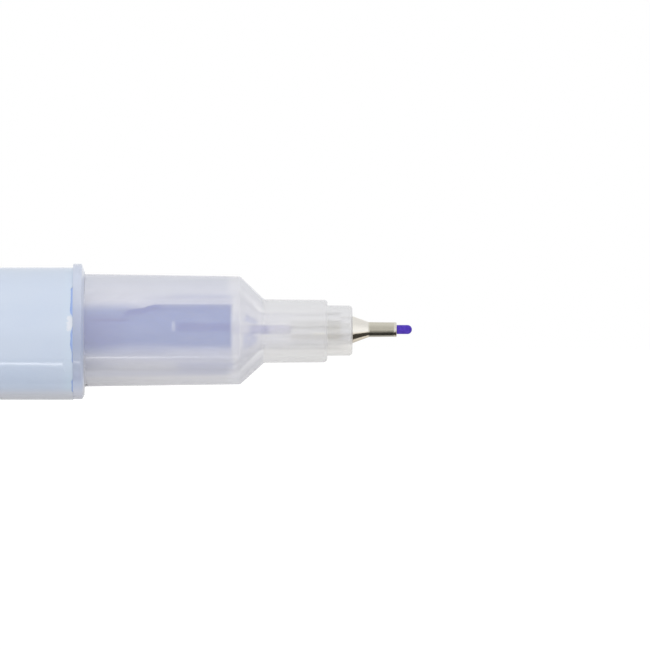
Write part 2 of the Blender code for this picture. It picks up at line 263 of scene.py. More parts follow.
# Turned pieces: an outline of (radius, station, rounding) corners is swept round the pen's axis
def softened(corners, steps=6):
    points = []
    for k, (radius, along, rounding) in enumerate(corners):
        here = Vector((radius, along))
        if not rounding:
            points.append(here)
            continue
        back = (Vector(corners[k - 1][:2]) - here).normalized()
        ahead = (Vector(corners[(k + 1) % len(corners)][:2]) - here).normalized()
        half = back.angle(ahead) / 2
        centre = here + (back + ahead).normalized() * rounding / math.sin(half)
        first = here + back * rounding / math.tan(half) - centre
        last = here + ahead * rounding / math.tan(half) - centre
        swing = math.pi - 2 * half
        for number in range(steps + 1):
            part = swing * number / steps
            blend = first * math.sin(swing - part) + last * math.sin(part)
            points.append(centre + blend / math.sin(swing))
    return points


def supported(points, closed):  # extra points beside the corners keep long faces evenly shaded
    support = 0.08
    laid = []
    for k, point in enumerate(points):
        laid.append(point)
        if k == len(points) - 1 and not closed:
            break
        run = points[(k + 1) % len(points)] - point
        if run.length > 4 * support:
            laid += [point + run * (support / run.length), point + run * (1 - support / run.length)]
    return laid


def outlineMesh(name, corners, innerFrom):  # a ring if it has no point on the axis
    closed = corners[0][0] > 0
    points = supported(softened(corners), closed)
    count = len(points)
    edges = [(k, (k + 1) % count) for k in range(count if closed else count - 1)]
    mesh = bpy.data.meshes.new(name)
    mesh.from_pydata([(point.x * mm, point.y * mm, 0) for point in points], edges, [])
    layer = mesh.attributes.new("lining", "FLOAT", "POINT")
    turnBack = Vector(corners[innerFrom][:2]) if innerFrom else None
    inner = False
    for mark, point in zip(layer.data, points):
        inner = inner or (turnBack is not None and (point - turnBack).length < 1e-6)
        mark.value = float(inner)
    return mesh


def sweptRound(shape):  # the outline turned about X, at its place in the frame
    profile = shape.node("GeometryNodeMeshToCurve", sockets={"Mesh": shape.inlet["Geometry"]})
    hub = 1e-8  # the path is a tiny circle, so that only the outline's own radius counts
    sockets = {"Resolution": shape.inlet["Facets"], "Radius": hub}
    path = shape.node("GeometryNodeCurvePrimitiveCircle", sockets=sockets)
    swept = shape.node("GeometryNodeCurveToMesh", sockets={"Curve": path, "Profile Curve": profile})
    sockets = {"Geometry": swept, "Rotation": (0, -math.pi / 2, 0)}
    level = shape.node("GeometryNodeTransform", sockets=sockets)
    facing = shape.join(shape.inlet["Facing"], 1.0, 1.0)
    sockets = {"Geometry": level, "Translation": shape.inlet["Axis"], "Scale": facing}
    return shape.node("GeometryNodeTransform", sockets=sockets)


turningInlets = {
    "Axis": "Vector",
    "Facing": "Float",
    "Facets": "Int",
    "Finish": "Material",
    "Lining": "Material",
}
plainTurning = Shape("plainTurning", turningInlets)
plainTurning.close(sweptRound(plainTurning))


def turned(
    name, corners, axis, finish, facing=1.0, facets=192, innerFrom=None, lining=None, shape=None, sizes=None
):
    values = {
        "Axis": [value * mm for value in axis],
        "Facing": facing,
        "Facets": facets,
        "Finish": finish.material,
        "Lining": (lining or finish).material,
    }
    values.update(sizes or {})
    return (shape or plainTurning).grow(name, outlineMesh(name + "Outline", corners, innerFrom), values)


# Camera: level with the pen, looking at its side
camera = {
    "pixelSize": 10.5 / 131.8,  # the wrapped barrel's 10.5 mm is 131.8 pixels across
    "imageSide": 650,
    "frontPixel": 72.5,  # the barrel's front end, from the left
    "axisPixel": 330.6,  # the nose's axis, from the top
    "distance": 1500.0,
    "sensor": 36.0,
}


def placeCamera():
    half = camera["imageSide"] / 2
    x = frontX + (half - camera["frontPixel"]) * camera["pixelSize"]
    z = noseAxis[2] + (camera["axisPixel"] - half) * camera["pixelSize"]
    data = bpy.data.cameras.new("sideView")
    data.sensor_width = camera["sensor"]
    data.lens = camera["sensor"] * camera["distance"] / (camera["imageSide"] * camera["pixelSize"])
    data.clip_start = 0.01
    data.clip_end = 20.0
    viewer = bpy.data.objects.new("sideView", data)
    viewer.location = (x * mm, -camera["distance"] * mm, z * mm)
    viewer.rotation_euler = (math.pi / 2, 0, 0)
    scene.collection.objects.link(viewer)
    scene.camera = viewer


placeCamera()
print("camera placed")


# Studio: a white table and a white room, soft light from above and from the front
studio = {
    "roomLight": 0.60,  # what the room gives matt surfaces
    "topLight": 0.31,
    "frontLight": 0.22,
    "tableSide": 3.0,
    "tableBounce": 0.75,
    "tableFill": 0.16,  # what the lit table gives back to the pen's underside
    "tableGlow": 0.60,  # lifts the table to white for the camera
    "ceilingDrop": 0.18,
    "backDrop": 0.26,
}


def aimed(thing, place, target=(0.056, 0, 0.005)):
    thing.location = place
    thing.rotation_euler = (Vector(place) - Vector(target)).to_track_quat("Z", "Y").to_euler()
    scene.collection.objects.link(thing)


def softbox(name, place, side, level):
    data = bpy.data.lights.new(name, "AREA")
    data.shape = "SQUARE"
    data.size = side
    data.energy = level * math.pi**2 * Vector(place).length_squared
    lamp = bpy.data.objects.new(name, data)
    lamp.visible_glossy = False
    aimed(lamp, place)


def paintRoom():
    room = bpy.data.worlds.new("whiteRoom")
    room.use_nodes = True
    scene.world = room
    graph = Graph(room.node_tree)
    path = graph.node("ShaderNodeLightPath").socket.node.outputs
    seen = graph.sum("MAXIMUM", Wire(graph, path["Is Camera Ray"]), Wire(graph, path["Is Glossy Ray"]))
    seen = graph.sum("MAXIMUM", seen, Wire(graph, path["Is Transmission Ray"]))
    side, depth, height = graph.parts(graph.node("ShaderNodeTexCoord", out="Generated"))
    darker = studio["ceilingDrop"] * graph.step(height, 0.1, 0.8)  # in shine alone
    darker = darker + studio["backDrop"] * graph.step(depth, 0.1, 0.8) * graph.step(height, 0.0, -0.2)
    background = room.node_tree.nodes["Background"]
    background.inputs["Color"].default_value = (1, 1, 1, 1)
    level = studio["roomLight"] + seen * (1 - studio["roomLight"])
    graph.plug(background.inputs["Strength"], level - darker * Wire(graph, path["Is Glossy Ray"]))


def layTable(height):
    bm = bmesh.new()
    place = Matrix.Translation((0, 0, height))
    bmesh.ops.create_grid(bm, x_segments=1, y_segments=1, size=studio["tableSide"], matrix=place)
    mesh = bpy.data.meshes.new("tableTop")
    bm.to_mesh(mesh)
    bm.free()
    material = bpy.data.materials.new("whiteTable")
    material.use_nodes = True
    graph = Graph(material.node_tree)
    bounce = studio["tableBounce"]
    matt = graph.node("ShaderNodeBsdfDiffuse", sockets={"Color": (bounce, bounce, bounce, 1)})
    straight = graph.node("ShaderNodeLightPath", out="Is Camera Ray")
    level = studio["tableFill"] + straight * (studio["tableGlow"] - studio["tableFill"])
    glow = graph.node("ShaderNodeEmission", sockets={"Strength": level})
    both = graph.node("ShaderNodeAddShader", sockets={0: matt, 1: glow})
    graph.plug(material.node_tree.nodes["Material Output"].inputs["Surface"], both)
    mesh.materials.append(material)
    table = bpy.data.objects.new("tableTop", mesh)
    table.visible_glossy = False  # shine shows the white room instead
    table.visible_shadow = False
    scene.collection.objects.link(table)
    table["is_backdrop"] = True


# Below the table's edge, for shine alone: dark cards, and thin bright strips in front of them
shine = {
    # dark cards as (x from, x to, depth, degrees below the level in front from, to)
    "cards": {
        "darkCard": (-900.0, 900.0, 300.0, 46.0, 98.0),
        "tubeCard": (71.0, 80.0, 40.0, 13.0, 110.0),
        "coneCard": (82.0, 170.0, 40.0, 50.0, 102.0),
    },
    # bright strips as (x, degrees below the level in front) of both ends, and the radiance
    "strips": {
        "filmStrip": ((38.0, 52.2), (51.0, 55.5), 42.0),
        "noseStrip": ((54.8, 56.4), (60.2, 57.8), 60.0),
        "shoulderStrip": ((60.2, 57.8), (68.0, 59.8), 18.0),
    },
    "stripDistance": 250.0,
    "stripWidth": 3.5,
}


def hangCards():
    material = bpy.data.materials.new("darkCard")
    material.use_nodes = True
    material.node_tree.nodes["Principled BSDF"].inputs["Base Color"].default_value = (0.02, 0.018, 0.015, 1)
    for name, (left, right, depth, top, end) in shine["cards"].items():
        near, far = [-depth / math.tan(math.radians(angle)) for angle in (top, end)]
        bm = bmesh.new()
        corners = [(left, near), (right, near), (right, far), (left, far)]
        bm.faces.new([bm.verts.new((x * mm, y * mm, (noseAxis[2] - depth) * mm)) for x, y in corners])
        mesh = bpy.data.meshes.new(name)
        bm.to_mesh(mesh)
        bm.free()
        mesh.materials.append(material)
        card = bpy.data.objects.new(name, mesh)
        card.visible_camera = False
        card.visible_diffuse = False
        card.visible_transmission = False
        card.visible_shadow = False
        scene.collection.objects.link(card)
        card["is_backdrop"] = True


def hangStrip(name, start, end, radiance):
    ends = []
    for x, below in (start, end):
        angle = math.radians(below)
        reach = shine["stripDistance"]
        ends.append(Vector((x, -reach * math.cos(angle), noseAxis[2] - reach * math.sin(angle))) * mm)
    along = (ends[1] - ends[0]).normalized()
    middle = (ends[0] + ends[1]) / 2
    away = middle - Vector((middle.x, 0, noseAxis[2] * mm))
    away = (away - along * away.dot(along)).normalized()
    data = bpy.data.lights.new(name, "AREA")
    data.shape = "RECTANGLE"
    data.size = (ends[1] - ends[0]).length
    data.size_y = shine["stripWidth"] * mm
    data.energy = radiance * math.pi * data.size * data.size_y
    strip = bpy.data.objects.new(name, data)
    facing = Matrix((along, away.cross(along), away)).transposed().to_4x4()
    strip.matrix_world = Matrix.Translation(middle) @ facing
    strip.visible_diffuse = False
    scene.collection.objects.link(strip)
    return strip


paintRoom()
hangCards()
strips = [hangStrip(name, *values) for name, values in shine["strips"].items()]
softbox("topSoftbox", (0.05, -0.15, 0.60), 0.5, studio["topLight"])
softbox("frontSoftbox", (0.05, -0.65, 0.17), 0.4, studio["frontLight"])
scene.view_settings.view_transform = "Standard"
scene.cycles.transparent_max_bounces = 24
print("studio lit")


# Frosted nose: one moulding from the spigot in the barrel to the tip, ribbed inside
nose = {
    "collarRadius": 5.40,
    "collarWidth": 1.0,
    "collarBack": 0.07,
    # how far its axis strays: (station, height)
    "drift": (
        (-9.1, -0.07), (0.95, -0.07), (1.05, 0.025), (13.0, 0.025),
        (14.5, -0.04), (20.0, -0.04), (20.4, 0.0), (23.0, 0.0),
    ),
    "bevelHeight": 0.72,
    "bevelDepth": 0.23,
    "radius": 4.49,
    "frontRadius": 4.31,
    "length": 12.36,
    "shoulderLength": 1.90,
    "neckRadius": 2.535,
    "neckFrontRadius": 2.495,
    "neckLength": 5.06,
    "tipRadius": 2.015,
    "tipFrontRadius": 1.995,
    "tipWall": 0.92,
    "spigotRadius": 4.02,
    "beadRadius": 4.15,
    "beadStation": -5.5,
    "chamberRadius": 3.49,
    "neckBore": 1.47,
    "hole": 1.12,
    "chamberRibHeight": 0.24,
    "chamberRibWidth": 0.64,
    "chamberRibStart": 8.25,
    "ferruleRibWidth": 0.40,
    "ferruleRibStart": 17.41,
    "ribTurn": 35.0,  # degrees from the top
    "ribCount": 6,
    "skinShare": 0.36,  # how much of the light stops at the outer skin
    "collarShare": 0.68,
    "liningShare": 0.06,  # and at the inner wall
    "shoulderShare": 0.74,
    "neckShare": 0.66,
    "shankShare": 0.80,
    "lightLet": 0.8,
}
noseStart = nose["collarWidth"]
shoulderStart = noseStart + nose["length"]
neckStart = shoulderStart + nose["shoulderLength"]
neckEnd = neckStart + nose["neckLength"]
tipEnd = station("nose_section", 1)
ribZones = ("chamber", "ferrule")
ribSizes = ("bore", "crest", "width", "start", "end")


def ribbedTurning():  # a turned piece with ribs standing in from its bores
    inlets = dict(turningInlets)
    inlets["Rib count"] = inlets["Rib turn"] = "Float"
    for zone in ribZones:
        for label in ribSizes:
            inlets[zone + " " + label] = "Float"
    shape = Shape("ribbedTurning", inlets)
    geometry = sweptRound(shape)
    for zone in ribZones:
        size = {label: shape.inlet[zone + " " + label] for label in ribSizes}
        sockets = {0: shape.node("GeometryNodeInputPosition"), 1: shape.inlet["Axis"]}
        place = shape.node("ShaderNodeVectorMath", {"operation": "SUBTRACT"}, sockets)
        along, side, up = shape.parts(place)
        reach = shape.length(side, up)
        turn = shape.sum("ARCTAN2", side, up) * math.degrees(1) - shape.inlet["Rib turn"]
        pitch = 360 / shape.inlet["Rib count"]
        off = shape.sum("PINGPONG", turn + 360, pitch / 2)  # degrees from the nearest rib
        across = off * math.radians(1) * size["bore"]
        soft = 0.05 * mm
        standing = shape.step(across, size["width"] / 2 - soft, size["width"] / 2 + soft, 1.0, 0.0)
        standing = standing * shape.step(along, size["start"] - 0.1 * mm, size["start"])
        ribbed = shape.sum("MINIMUM", reach, size["bore"] - (size["bore"] - size["crest"]) * standing)
        share = ribbed / reach
        sockets = {0: shape.join(along, side * share, up * share), 1: shape.inlet["Axis"]}
        moved = shape.node("ShaderNodeVectorMath", {"operation": "ADD"}, sockets)
        inZone = (along > size["start"] - 0.15 * mm) * (size["end"] + 0.01 * mm > along)
        sockets = {"Geometry": geometry, "Selection": inZone * shape.lined(), "Position": moved}
        geometry = shape.node("GeometryNodeSetPosition", sockets=sockets)
    shape.close(geometry)
    return shape


def skinFinish():  # milky plastic, thicker to see through at the collar and towards top and bottom
    finish = Finish("frostedSkin", {"IOR": 1.45}, noseAxis)
    along, tilt = finish.x, finish.tilt()
    lean = finish.sum("ABSOLUTE", tilt)
    cloud = finish.noise(0.5, detail=4.0)
    upper = finish.step(tilt, -20.0, 20.0)
    body = finish.step(along, shoulderStart - 0.3, neckStart, 1.0, 0.0)  # the wide part
    collar = finish.step(along, noseStart - 0.12, noseStart + 0.02, 1.0, 0.0)
    edge = finish.step(lean, 30.0, 54.0) * finish.step(along, neckStart - 0.3, neckStart + 0.2, 1.0, 0.0)
    milky = finish.tint(cloud, rgb(216, 216, 219), rgb(224, 224, 226))
    # lavender over the ink: painted light, the ink's colour scattered into the milky plastic
    inkLightTinge = finish.tint(cloud, rgb(224, 224, 230), rgb(231, 231, 236))
    # colours differ by tilt, darker where the side turns under and paler along the underside: painted light
    # and shade
    top = finish.tint(cloud, rgb(211, 213, 224), rgb(217, 219, 229))
    bottom = finish.tint(finish.step(along, 2.0, 9.0), rgb(214, 213, 217), rgb(226, 225, 228))
    bottom = finish.tint(finish.step(tilt, -60.0, -50.0), bottom, rgb(202, 203, 214))
    ending = finish.step(along, shoulderStart - 1.3, shoulderStart - 0.5)  # past the ink's end
    bottom = finish.tint(ending, bottom, rgb(227, 227, 231))
    top = finish.tint(ending, top, rgb(226, 227, 233))
    colour = finish.tint(body, milky, inkLightTinge)
    colour = finish.tint(edge, colour, finish.tint(upper, bottom, top))
    # the shoulder painted paler on its sides and top and darker underneath: painted light and shade
    slope = finish.band(along, shoulderStart - 0.1, neckStart - 0.2, 0.3)
    colour = finish.tint(slope * finish.band(tilt, -25.0, 48.0, 10.0), colour, rgb(237, 237, 242))
    colour = finish.tint(slope * finish.step(tilt, -42.0, -58.0), colour, rgb(215, 215, 220))
    # the collar painted paler on top, with a band of painted shade below the middle and painted reflected
    # light along its underside
    ringTop = finish.tint(cloud, rgb(208, 216, 234), rgb(214, 221, 238))
    ring = finish.tint(upper, rgb(198, 207, 227), ringTop)
    ring = finish.tint(finish.band(tilt, -47.0, -37.0, 5.0), ring, rgb(190, 197, 219))
    ring = finish.tint(finish.step(tilt, -50.0, -68.0), ring, rgb(226, 228, 239))
    colour = finish.tint(collar, colour, ring)
    crease = finish.band(along, noseStart - 0.08, noseStart + 0.05, 0.03)
    crease = crease * finish.step(tilt, 40.0, 26.0)  # painted light: a pale line where the collar ends, lifting the shade in the crease
    colour = finish.tint(0.65 * crease, colour, rgb(250, 250, 254))
    # a small dark spot low in the corner where the collar meets the nose
    darkCornerSpot = finish.band(along, noseStart - 0.03, noseStart + 0.20, 0.05)
    darkCornerSpot = darkCornerSpot * finish.band(finish.bearing(), -79.0, -73.5, 1.0)
    colour = finish.tint(darkCornerSpot, colour, rgb(48, 50, 66))
    neck = finish.step(along, neckStart - 0.3, neckStart + 0.2)
    foot = neck * finish.step(tilt, -16.0, -40.0)  # the neck's underside, painted paler and warmer: painted light
    onTip = finish.step(along, neckEnd - 0.1, neckEnd)
    colour = finish.tint(foot, colour, finish.tint(onTip, rgb(228, 227, 226), rgb(238, 236, 233)))
    # greyer along the neck's top
    brow = neck * finish.step(tilt, 28.0, 44.0)
    colour = finish.tint(0.45 * brow, colour, rgb(208, 208, 212))
    finish.feed("Base Color", colour)
    share = nose["skinShare"] + 0.34 * edge + 0.26 * foot + 0.07 * brow
    bevel = finish.step(along, noseStart - 0.30, noseStart - 0.22)
    thick = nose["collarShare"] + 0.16 * edge + 0.14 * finish.step(tilt, -26.0, -44.0) + 0.14 * bevel
    share = share + collar * (thick - share)
    finish.veil(share + darkCornerSpot * (1 - share))
    handled = finish.step(along, 2.8, 1.3)  # duller by the collar, where fingers hold it
    finish.feed("Roughness", 0.07 + 0.03 * finish.noise(1.6, (0.3, 1, 1)) + 0.03 * handled + 0.02 * collar)
    finish.bump(finish.noise(6.0, detail=2.0), 0.0003)
    return finish


def liningFinish():  # the inner wall, which hides what lies away from it
    finish = Finish("frostedLining", {"IOR": 1.49, "Roughness": 0.35}, noseAxis)
    along, tilt = finish.x, finish.tilt()
    cloud = finish.noise(0.8, detail=4.0)
    narrow = finish.step(along, shoulderStart - 0.80, shoulderStart - 0.45)
    clear = finish.band(along, neckStart - 1.1, neckStart + 0.4, 0.25)
    neck = finish.step(along, neckStart - 0.4, neckStart + 0.4)
    milky = finish.tint(cloud, rgb(242, 242, 245), rgb(250, 250, 251))
    # lavender over the ink: painted light, the ink's colour scattered into the milky plastic
    inkLightTinge = finish.tint(cloud, rgb(236, 236, 244), rgb(246, 246, 250))
    colour = finish.tint(narrow, inkLightTinge, milky)
    # ink smeared under the lowest ribs, and what crept into the shoulder
    ribs = nose["chamberRibStart"]
    under = finish.band(tilt, -95.0, -50.0, 7.0)
    smear = under * finish.band(along, ribs + 0.15, shoulderStart - 0.62, 0.12)
    gap = under * finish.band(along, ribs - 0.22, ribs + 0.03, 0.06)
    colour = finish.tint(smear, colour, rgb(138, 152, 214))
    crept = finish.band(tilt, -34.0, -5.0, 6.0) + finish.band(tilt, 15.0, 30.0, 6.0)
    crept = crept * finish.band(along, shoulderStart + 0.25, neckStart - 0.55, 0.25)
    crept = crept * finish.step(finish.noise(2.2, detail=4.0), 0.36, 0.52)
    colour = finish.tint(0.64 * crept, colour, rgb(140, 152, 212))
    soaked = finish.band(along, neckStart - 1.2, neckStart + 0.4, 0.2)
    soaked = soaked * finish.band(finish.z, -0.28, 0.38, 0.1)
    colour = finish.tint(0.34 * soaked, colour, rgb(150, 164, 226))
    tinted = finish.band(along, shoulderStart - 0.55, shoulderStart - 0.05, 0.12)
    tinted = tinted * finish.band(tilt, -28.0, 24.0, 8.0)
    colour = finish.tint(0.3 * tinted, colour, rgb(186, 192, 216))
    # where a rib lies on the ferrule, a faint grey bar is painted on the lining: a painted reflection of
    # the metal behind it
    shank = finish.step(along, nose["ferruleRibStart"] - 0.1, nose["ferruleRibStart"])
    shankBarsPainted = finish.band(tilt, 6.0, 34.0, 4.0) + finish.band(tilt, -27.0, -11.0, 3.0)
    shankBarsPainted = shankBarsPainted + 0.25 * finish.band(tilt, -80.0, -51.0, 4.0)
    tip = finish.step(along, neckEnd - 0.1, neckEnd + 0.1)
    tip = tip * finish.step(along, tipEnd - 1.0, tipEnd - 0.9, 1.0, 0.0)
    shankBarsPainted = shankBarsPainted * shank * (0.85 + 1.15 * tip) + tip * finish.band(tilt, 60.0, 80.0, 5.0)
    colour = finish.tint(0.27 * shankBarsPainted, colour, rgb(200, 199, 190))
    # a yellowish band on the tip: painted reflection of the metal
    colour = finish.tint(0.4 * tip * finish.band(tilt, -42.0, 14.0, 10.0), colour, rgb(206, 202, 184))
    # a bright streak: a painted highlight of the metal shank
    shankGlintPainted = finish.band(tilt, -12.0, -7.5, 1.5) * finish.band(along, neckEnd - 1.15, neckEnd - 0.2, 0.12)
    colour = finish.tint(shankGlintPainted, colour, rgb(255, 253, 240))
    finish.feed("Base Color", colour)
    share = nose["liningShare"] + (nose["shoulderShare"] - nose["liningShare"]) * narrow
    share = share + (nose["neckShare"] - share) * neck - 0.12 * clear + 0.09 * smear + 0.16 * gap
    finish.veil(share + (nose["shankShare"] - 0.10 * shankBarsPainted - share) * shank)
    return finish


def relax(piece):  # as moulded: not dead true, and the collar's front bevel dies away below
    inner = nose["collarRadius"] - nose["bevelHeight"]
    for vertex in piece.data.vertices:
        along, side, up = vertex.co / mm - Vector(noseAxis)
        reach = math.hypot(side, up)
        for (first, low), (last, high) in zip(nose["drift"], nose["drift"][1:]):
            if first <= along <= last:
                vertex.co.z += (low + (high - low) * (along - first) / (last - first)) * mm
                break
        if reach > inner and along > noseStart / 2:
            below = min(max((-math.degrees(math.asin(up / reach)) - 15) / 45, 0), 1)
            out = (reach - inner) / nose["bevelHeight"]
            vertex.co.x += below * out * (1 - out**4) * nose["bevelDepth"] * mm


def makeNose():
    spigot = nose["spigotRadius"]
    bead = nose["beadStation"]
    chamberEnd = shoulderStart - 0.35
    boreStart = neckStart - 0.30
    wallBack = tipEnd - nose["tipWall"]
    collarFace = noseStart - 0.02
    bevelFoot = nose["collarRadius"] - nose["bevelHeight"]
    bevelMiddle = bevelFoot + 0.55 * nose["bevelHeight"]
    outside = [
        (nose["hole"], tipEnd, 0.06),
        (nose["tipFrontRadius"], tipEnd, 0.28),
        (nose["tipRadius"], neckEnd, 0.06),
        (nose["neckFrontRadius"], neckEnd, 0.30),
        (nose["neckRadius"], neckStart, 0.30),
        (nose["frontRadius"], shoulderStart, 0.15),
        (nose["radius"], noseStart, 0.05),
        (bevelFoot, collarFace, 0.05),
        (bevelMiddle, collarFace - 0.55 * nose["bevelDepth"], 0),
        (nose["collarRadius"], collarFace - nose["bevelDepth"], 0.08),
        (nose["collarRadius"] - 0.008, nose["collarBack"], 0.015),
        (spigot, nose["collarBack"], 0.02),
        (spigot, bead + 0.65, 0),
        (nose["beadRadius"], bead + 0.25, 0),
        (nose["beadRadius"], bead - 0.25, 0),
        (spigot, bead - 0.65, 0),
        (spigot, -spigotLength, 0.2),
    ]
    inside = [
        (nose["chamberRadius"], -spigotLength, 0),
        (nose["chamberRadius"], nose["chamberRibStart"] - 0.12, 0),
        (nose["chamberRadius"], nose["chamberRibStart"], 0),
        (nose["chamberRadius"], chamberEnd, 0.15),
        (nose["neckBore"], boreStart, 0.3),
        (nose["neckBore"], nose["ferruleRibStart"] - 0.12, 0),
        (nose["neckBore"], nose["ferruleRibStart"], 0),
        (nose["neckBore"], wallBack, 0.05),
        (nose["hole"], wallBack, 0),
    ]
    sizes = {
        "Rib count": float(nose["ribCount"]),
        "Rib turn": nose["ribTurn"],
        "chamber bore": nose["chamberRadius"] * mm,
        "chamber crest": (nose["chamberRadius"] - nose["chamberRibHeight"]) * mm,
        "chamber width": nose["chamberRibWidth"] * mm,
        "chamber start": nose["chamberRibStart"] * mm,
        "chamber end": shoulderStart * mm,
        "ferrule bore": nose["neckBore"] * mm,
        "ferrule crest": nose["hole"] * mm,
        "ferrule width": nose["ferruleRibWidth"] * mm,
        "ferrule start": nose["ferruleRibStart"] * mm,
        "ferrule end": wallBack * mm,
    }
    piece = turned(
        "noseMoulding", outside + inside, noseAxis, skinFinish(), facets=288,
        innerFrom=len(outside), lining=liningFinish(), shape=ribbedTurning(), sizes=sizes,
    )
    relax(piece)
    settle(piece, "pen", "nose_section")
    return piece


noseMoulding = makeNose()


# Metal point: shank in the neck, cone, and the fine tube round the nib
ferrule = {
    "shankRadius": 1.04,
    "coneRadius": 1.08,
    "shankLength": 4.90,
    "shankWall": 0.22,
    "coneLength": 1.31,
    "tubeRadius": 0.60,
    "tubeFrontRadius": 0.575,
    "nibBore": 0.37,
}


def nickelFinish():
    finish = Finish("brightNickel", {"Metallic": 1.0}, pointAxis)
    along = finish.x
    drawn = finish.noise(14.0, (1.0, 0.05, 0.05), detail=4.0)  # fine rings left by drawing
    worn = finish.noise(5.0, (0.25, 1, 1), detail=5.0)
    coneEnd = tipEnd + ferrule["coneLength"]
    tube = finish.step(along, coneEnd - 0.15, coneEnd + 0.10)  # drawn thinner, and duller for it
    lip = finish.step(along, station("nib_ferrule", 1) - 0.25, station("nib_ferrule", 1) - 0.18)
    dull = tube * (1 - 0.6 * lip)
    bright = finish.tint(worn, rgb(238, 234, 226), rgb(249, 246, 239))
    paintedWarmUnderside = finish.step(finish.tilt(), -8.0, -24.0)  # warmer along its underside: a painted reflection
    bright = finish.tint(paintedWarmUnderside, bright, rgb(224, 213, 195))
    greyed = finish.tint(worn, rgb(174, 170, 156), rgb(192, 188, 174))
    # paler along the tube's top: a painted reflection
    greyed = finish.tint(finish.step(finish.tilt(), 2.0, 44.0), greyed, rgb(220, 216, 201))
    finish.feed("Base Color", finish.tint(dull, bright, greyed))
    finish.feed("Roughness", 0.09 + 0.14 * finish.noise(3.0, detail=4.0) + 0.06 * dull)
    finish.bump(drawn + worn, 0.002)
    return finish


def makeFerrule():
    tubeEnd = station("nib_ferrule", 1)
    coneEnd = tipEnd + ferrule["coneLength"]
    back = tipEnd - ferrule["shankLength"]
    inner = ferrule["shankRadius"] - ferrule["shankWall"]
    corners = [
        (ferrule["nibBore"], tubeEnd, 0.03),
        (ferrule["tubeFrontRadius"] + 0.012, tubeEnd, 0.07),
        (ferrule["tubeFrontRadius"] + 0.012, tubeEnd - 0.16, 0.05),
        (ferrule["tubeFrontRadius"], tubeEnd - 0.24, 0.05),
        (ferrule["tubeRadius"], coneEnd, 0.25),
        (ferrule["coneRadius"], tipEnd + 0.02, 0.10),
        (ferrule["shankRadius"], tipEnd - 0.06, 0),
        (ferrule["shankRadius"], back, 0.06),
        (inner, back, 0.03),
        (inner, tipEnd, 0),
        (ferrule["nibBore"], coneEnd, 0),
    ]
    piece = turned("nibFerrule", corners, pointAxis, nickelFinish(), facets=160)
    settle(piece, "pen", "nib_ferrule")


makeFerrule()


# Fibre nib: one rod from its rounded writing end back into the ink bundle
nib = {"radius": 0.36, "ink": rgb(88, 62, 190), "inkDeep": rgb(70, 44, 170)}


def nibFinish():
    finish = Finish("violetFibre", {"IOR": 1.4}, pointAxis)
    strands = finish.noise(22.0, (0.06, 1, 1), detail=4.0)  # fibres along the rod
    patches = finish.noise(3.0, detail=3.0)
    paler = finish.step(strands + patches, 0.75, 1.25)
    finish.feed("Base Color", finish.tint(paler, nib["inkDeep"], nib["ink"]))
    finish.feed("Roughness", 0.55 + 0.3 * strands)
    finish.bump(strands, 0.012)
    return finish


def makeNib():
    back, end = station("fibre_nib", 0), station("fibre_nib", 1)
    corners = [
        (0, end, 0),
        (nib["radius"], end, nib["radius"] * 0.97),
        (nib["radius"], back, 0.1),
        (0, back, 0),
    ]
    piece = turned("fibreNib", corners, pointAxis, nibFinish(), facets=96)
    settle(piece, "pen", "fibre_nib")


makeNib()


# Ink bundle and its clear wrap, which is wet where it touches the nose
bundle = {
    "radius": 3.07,
    "wrapRadius": 3.18,
    "wrapWall": 0.06,
    "nibPlay": 0.14,  # round the nib, which sits a little above the bundle's axis
    "wet": rgb(95, 121, 190),
    "wetDeep": rgb(50, 78, 173),
    "dry": rgb(240, 240, 246),
}


def bundleFinish():
    finish = Finish("inkedFibre", {"IOR": 1.4, "Roughness": 0.85}, bundleAxis)
    strands = finish.noise(9.0, (0.05, 1, 1), detail=4.0)
    paler = finish.step(strands, 0.35, 0.65)
    finish.feed("Base Color", finish.tint(paler, rgb(92, 84, 190), rgb(122, 116, 208)))
    finish.bump(strands, 0.02)
    return finish


